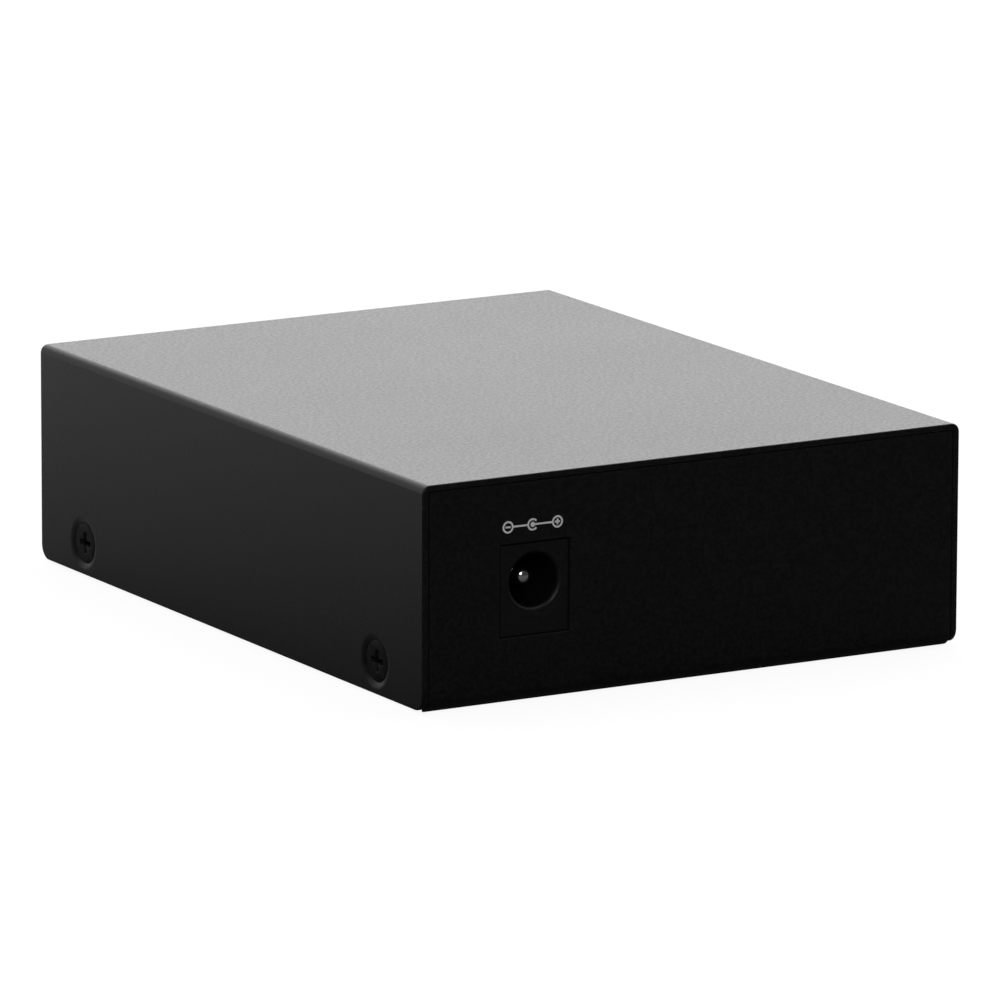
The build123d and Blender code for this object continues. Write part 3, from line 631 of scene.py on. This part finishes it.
# fibre ports: plated nose on a square block, with a ceramic sleeve inside it
fibrePort = {
    "xs": (-7.848, 4.852),
    "face": -47.25,
    "z": 13.1,
    "nose": 2.2,
    "bore": 1.6,
    "edge": 0.15,
    "front": 6.2,
    "wall": 14.7,
    "block": 2.8,
    "blockEnd": 21.0,
    "lead": 3.0,
    "leadRise": 0.75,
    "leadHalf": 0.25,
    "steps": 56,
    "edgeRound": 0.05,
}
fibreSleeve = {"outer": 1.55, "inner": 1.25, "edge": 0.08, "front": 6.25, "steps": 56, "edgeRound": 0.03}


def portPlaces():
    return [facing(x, fibrePort["face"], fibrePort["z"], (0, 1, 0)) for x in fibrePort["xs"]]


def tube(inner, outer, front, rear, edge, steps):  # closed ring of wall with its front edges chamfered
    inside = [(inner, rear), (inner, front + edge), (inner + edge, front)]
    outside = [(outer - edge, front), (outer, front + edge), (outer, rear)]
    return lathe(inside + outside + inside[:1], steps)


def makeFibreBarrels():
    port = fibrePort
    wall, block, end, half = (port[label] for label in ("wall", "block", "blockEnd", "leadHalf"))
    bm = tube(port["bore"], port["nose"], port["front"], wall, port["edge"], port["steps"])
    addBlock(bm, (-block, -block, wall), (block, block, end))
    for rise in (-port["leadRise"], port["leadRise"]):
        addBlock(bm, (-half, rise - half, end), (half, rise + half, end + port["lead"]))
    bm = repeated(bm, portPlaces())
    piece = addPiece("fibreBarrels", bm, "plated_contact", replaced=["fibre_barrels"])
    roundEdges(piece, port["edgeRound"])


def makeFibreSleeves():
    sleeve = fibreSleeve
    rear = fibrePort["wall"]
    bm = tube(sleeve["inner"], sleeve["outer"], sleeve["front"], rear, sleeve["edge"], sleeve["steps"])
    bm = repeated(bm, portPlaces())
    piece = addPiece("fibreSleeves", bm, "sleeve_ceramic", replaced=["fibre_sleeves"])
    roundEdges(piece, sleeve["edgeRound"])


# smoothing capacitors: sleeved cans with a crimp near the foot
capacitorCan = {
    "xs": (11.5, 3.5),
    "y": 39.7,
    "z": 8.0,
    "radius": 3.15,
    "tall": 11.0,
    "foot": [(0.3, 0), (0, 0.25), (0, 1.2), (0.3, 1.5), (0, 1.8)],  # inset and height, up to the crimp
    "rim": [(0, 0.35), (0.12, 0.1), (0.35, 0), (0.8, 0.08)],  # inset and drop, over the sleeve's rolled top
    "leadGap": 2.5,
    "leadHalf": 0.25,
    "leadEnd": -3.0,
    "steps": 48,
    "edgeRound": 0.04,
    "edgeAngle": 60.0,
}


def makeCapacitors():
    can = capacitorCan
    radius, tall, half = can["radius"], can["tall"], can["leadHalf"]
    profile = [(0, 0)] + [(radius - inset, height) for inset, height in can["foot"]]
    profile += [(radius - inset, tall - drop) for inset, drop in can["rim"]]
    bm = lathe(profile + [(0, profile[-1][1])], can["steps"])
    for x in (-can["leadGap"] / 2, can["leadGap"] / 2):
        addBlock(bm, (x - half, -half, can["leadEnd"]), (x + half, half, 0))
    bm = repeated(bm, [Matrix.Translation((x, can["y"], can["z"])) for x in can["xs"]])
    piece = addPiece("capacitorCans", bm, "capacitor_sleeve", replaced=["electrolytic_capacitors"])
    roundEdges(piece, can["edgeRound"], angle=can["edgeAngle"])


makeJackPin()
makeFibreBarrels()
makeFibreSleeves()
makeCapacitors()
print("turned pieces made")


# pieces whose drawn shape is right: merged copies with their edges rounded, (node, width, segments, body)
roundedPieces = {
    "baseTray": ("base_tray", 0.08, 2, "case"),
    "jackHousing": ("power_jack_housing", 0.14, 3, "case"),
    "copperShell": ("rj45_shell", 0.07, 2, "case"),
    "copperHousing": ("rj45_housing", 0.10, 2, "case"),
    "copperContacts": ("rj45_contacts", 0.08, 3, "case"),
    "fibreHousing": ("fibre_housing", 0.15, 3, "case"),
    "fibreLid": ("fibre_lid", 0.12, 2, "case"),
    "fibreLatches": ("fibre_latches", 0.08, 2, "case"),
    "statusLeds": ("status_leds", 0.08, 2, "case"),
    "switchFrame": ("switch_frame", 0.05, 2, "case"),
    "switchKnob": ("switch_knob", 0.14, 3, "switch"),
    "standoffs": ("board_standoffs", 0.10, 2, "case"),
    "mainBoard": ("main_board", 0.06, 2, "case"),
    "converterChip": ("converter_chip", 0.05, 2, "case"),
    "crystalCan": ("crystal_can", 0.40, 4, "case"),
    "transformer": ("ethernet_transformer", 0.05, 2, "case"),
    "inductor": ("power_inductor", 0.12, 2, "case"),
}
flatAngle = 0.5  # faces that turn by less, in degrees, are one face


def mergedCopy(node):  # the node's loose triangles merged back to whole faces
    bm = bmesh.new()
    bm.from_mesh(frame["nodes"][node].data)
    bmesh.ops.scale(bm, vec=(1 / mm,) * 3, verts=bm.verts)
    bmesh.ops.remove_doubles(bm, verts=bm.verts, dist=mergeGap)
    bmesh.ops.dissolve_limit(bm, angle_limit=math.radians(flatAngle), verts=bm.verts, edges=bm.edges)
    return bm


def makeRounded(name, node, width, segments, body):
    roundEdges(addPiece(name, mergedCopy(node), slotOf[node], body, [node]), width, segments)


lensDome = {
    "front": -47.2,
    "drop": 0.32,
    "rings": [(0.22, 0.15), (0.24, 0.09), (0.26, 0.055), (0.28, 0.025)],  # inset and rise
    "edgeRound": 0.05,
}


def makeLightPipe():  # the three rod ends get domed lens faces
    bm = mergedCopy("light_pipe")
    lenses = [face for face in bm.faces if abs(face.calc_center_median().y - lensDome["front"]) < nearly]
    rims = list({vert for face in lenses for vert in face.verts})
    bmesh.ops.translate(bm, vec=(0, lensDome["drop"], 0), verts=rims)
    for inset, rise in lensDome["rings"]:
        bmesh.ops.inset_individual(bm, faces=lenses, thickness=inset, depth=rise)
    roundEdges(addPiece("lightPipe", bm, "clear_plastic", replaced=["light_pipe"]), lensDome["edgeRound"])


for name, settings in roundedPieces.items():
    makeRounded(name, *settings)
makeLightPipe()
print("rounded pieces made:", len(roundedPieces) + 1)


# polarity sign above the power socket, printed in white ink
polaritySign = {
    "x": 21.85,
    "face": 47.25,
    "z": 21.0,
    "ink": 0.012,
    "line": 0.22,
    "ring": 0.62,
    "armShare": 0.55,
    "reach": 3.3,
    "dot": 0.30,
    "opening": 80.0,
    "steps": 48,
}


def inkRing(x, opening):  # open towards -X by the given angle, closed where it is 0
    sign = polaritySign
    half, ink = sign["line"] / 2, sign["ink"]
    inner, outer = sign["ring"] - half, sign["ring"] + half
    bm = bmesh.new()
    section = [(-inner, 0), (-outer, 0), (-outer, ink), (-inner, ink)]
    verts = [bm.verts.new((radius, depth, 0)) for radius, depth in section]
    edges = [bm.edges.new(pair) for pair in zip(verts, verts[1:] + verts[:1])]
    bmesh.ops.rotate(bm, cent=(0, 0, 0), matrix=Matrix.Rotation(opening / 2, 3, "Y"), verts=verts)
    bmesh.ops.spin(
        bm,
        geom=verts + edges,
        cent=(0, 0, 0),
        axis=(0, 1, 0),
        angle=math.tau - opening,
        steps=sign["steps"],
        use_merge=not opening,
    )
    bmesh.ops.remove_doubles(bm, verts=bm.verts, dist=mergeGap)
    bmesh.ops.holes_fill(bm, edges=[edge for edge in bm.edges if edge.is_boundary], sides=len(section))
    bmesh.ops.recalc_face_normals(bm, faces=bm.faces)
    bmesh.ops.translate(bm, vec=(x, 0, 0), verts=bm.verts)
    return bm


def makePolarity():
    sign = polaritySign
    ink, reach, dot, half = sign["ink"], sign["reach"], sign["dot"], sign["line"] / 2
    arm, rim = sign["ring"] * sign["armShare"], sign["ring"] + half
    bm = bmesh.new()
    for x in (-reach, reach):
        addShape(bm, inkRing(x, 0))
        addBlock(bm, (x - arm, 0, -half), (x + arm, ink, half))
    for low, high in ((half, arm), (-arm, -half)):
        addBlock(bm, (-reach - half, 0, low), (half - reach, ink, high))
    addShape(bm, inkRing(0, math.radians(sign["opening"])))
    disc = lathe([(0, 0), (dot, 0), (dot, ink), (0, ink)], sign["steps"])
    addShape(bm, disc, facing(0, 0, 0, (0, 1, 0)))
    for low, high in ((rim - reach, -dot), (rim, reach - rim)):
        addBlock(bm, (low, 0, -half), (high, ink, half))
    bmesh.ops.translate(bm, vec=(sign["x"], sign["face"], sign["z"]), verts=bm.verts)
    addPiece("polaritySign", bm, "case_paint", look=whiteInk, smooth=False)


makePolarity()
print("sign printed")


# floor and light, in metres
def combined(tree, operation, first, second):
    made = addNode(tree, "Math", operation=operation)
    tree.links.new(first, made.inputs[0])
    tree.links.new(second, made.inputs[1])
    return made.outputs["Value"]


def addSweep(tree, value, start, end):  # 0 to 1, smoothly, from start to end
    sweep = addNode(tree, "MapRange", interpolation_type="SMOOTHSTEP")
    sweep.inputs["From Min"].default_value = start
    sweep.inputs["From Max"].default_value = end
    tree.links.new(value, sweep.inputs["Value"])
    return sweep


floorLook = {"shade": 0.10, "glow": 0.925, "near": 0.07, "far": -0.45, "reach": 4.0, "drop": 0.00002}


def makePaper():  # white to the eye, shading off towards the near side in reflections
    made = bpy.data.materials.new("floorPaper")
    made.use_nodes = True
    tree = made.node_tree
    tree.nodes.clear()
    axes = addNode(tree, "SeparateXYZ")
    tree.links.new(addNode(tree, "TexCoord").outputs["Object"], axes.inputs["Vector"])
    sweep = addSweep(tree, axes.outputs["Y"], floorLook["near"], floorLook["far"])
    path = addNode(tree, "LightPath").outputs
    mirrored = combined(tree, "MAXIMUM", path["Is Glossy Ray"], path["Is Transmission Ray"])
    swept = combined(tree, "MULTIPLY", mirrored, sweep.outputs["Result"])
    level = addNode(tree, "Math", operation="MULTIPLY")
    level.inputs[1].default_value = floorLook["glow"]
    tree.links.new(combined(tree, "MAXIMUM", path["Is Camera Ray"], swept), level.inputs[0])
    glow = addNode(tree, "Emission")
    tree.links.new(level.outputs["Value"], glow.inputs["Strength"])
    matte = addNode(tree, "BsdfDiffuse")
    matte.inputs["Color"].default_value = (floorLook["shade"],) * 3 + (1,)
    both = addNode(tree, "AddShader")
    tree.links.new(matte.outputs["BSDF"], both.inputs[0])
    tree.links.new(glow.outputs["Emission"], both.inputs[1])
    tree.links.new(both.outputs["Shader"], addNode(tree, "OutputMaterial").inputs["Surface"])
    return made


def makeFloor():
    bm = bmesh.new()
    bmesh.ops.create_grid(bm, x_segments=1, y_segments=1, size=floorLook["reach"])
    bmesh.ops.translate(bm, vec=(0, 0, -floorLook["drop"]), verts=bm.verts)
    mesh = bpy.data.meshes.new("studioFloor")
    bm.to_mesh(mesh)
    bm.free()
    floor = bpy.data.objects.new("studioFloor", mesh)
    bpy.context.scene.collection.objects.link(floor)
    mesh.materials.append(makePaper())


backdrop = {"towards": (-0.45, -0.87, 0.2), "dim": 0.05, "from": -0.25, "to": 0.55}


def makeWorld():  # white sweep behind the object, dim room behind the camera
    world = bpy.data.worlds.new("studio")
    bpy.context.scene.world = world
    world.use_nodes = True
    tree = world.node_tree
    tree.nodes.clear()
    along = addNode(tree, "VectorMath", operation="DOT_PRODUCT")
    along.inputs[1].default_value = Vector(backdrop["towards"]).normalized()
    tree.links.new(addNode(tree, "TexCoord").outputs["Generated"], along.inputs[0])
    sweep = addSweep(tree, along.outputs["Value"], backdrop["from"], backdrop["to"])
    sweep.inputs["To Min"].default_value = backdrop["dim"]
    seen = addNode(tree, "LightPath").outputs["Is Camera Ray"]
    sky = addNode(tree, "Background")
    tree.links.new(combined(tree, "MAXIMUM", seen, sweep.outputs["Result"]), sky.inputs["Strength"])
    tree.links.new(sky.outputs["Background"], addNode(tree, "OutputWorld").inputs["Surface"])


lamps = {
    "overhead": {"at": (-0.10, -0.20, 0.85), "aim": (0, 0, 0), "size": (0.9, 0.9), "power": 4.8},
    "sweep": {"at": (-0.62, -1.15, 0.40), "aim": (0, 0, 0.02), "size": (1.6, 0.8), "power": 7.0},
    "fill": {"at": (0.45, 1.05, 0.55), "aim": (0, 0.02, 0.01), "size": (0.4, 0.4), "power": 4.2},
}


def makeLamps():
    for name, lamp in lamps.items():
        data = bpy.data.lights.new(name, "AREA")
        data.shape = "RECTANGLE"
        data.size, data.size_y = lamp["size"]
        data.energy = lamp["power"]
        made = bpy.data.objects.new(name, data)
        made.location = lamp["at"]
        way = Vector(lamp["aim"]) - Vector(lamp["at"])
        made.rotation_euler = way.to_track_quat("-Z", "Y").to_euler()
        made.visible_camera = False
        bpy.context.scene.collection.objects.link(made)


# camera at the photograph's angle: degrees and millimetres
photoCamera = {
    "azimuth": 149.807,
    "elevation": 12.254,
    "roll": 0.207,
    "distance": 1197.0,
    "aim": (0, 0, 13.5),
    "slide": (1.080, -0.880),
    "lens": 357.4,
    "sensor": 36.0,
    "clipStart": 10.0,
}


def makeCamera():
    view = photoCamera
    turn, rise, roll = (math.radians(view[label]) for label in ("azimuth", "elevation", "roll"))
    back = Vector((math.sin(turn) * math.cos(rise), -math.cos(turn) * math.cos(rise), math.sin(rise)))
    level = (-back).cross(Vector((0, 0, 1))).normalized()
    upright = level.cross(-back)
    right = level * math.cos(roll) + upright * math.sin(roll)
    up = upright * math.cos(roll) - level * math.sin(roll)
    across, along = view["slide"]
    eye = Vector(view["aim"]) + back * view["distance"] + right * across + up * along
    data = bpy.data.cameras.new("photoCamera")
    data.lens = view["lens"]
    data.sensor_width = view["sensor"]
    data.clip_start = view["clipStart"] * mm
    made = bpy.data.objects.new("photoCamera", data)
    made.matrix_world = Matrix.Translation(eye * mm) @ Matrix((right, up, back)).transposed().to_4x4()
    bpy.context.scene.collection.objects.link(made)
    bpy.context.scene.camera = made


makeFloor()
makeWorld()
makeLamps()
makeCamera()
bpy.context.scene.view_settings.view_transform = "Standard"
print("floor, light and camera set")
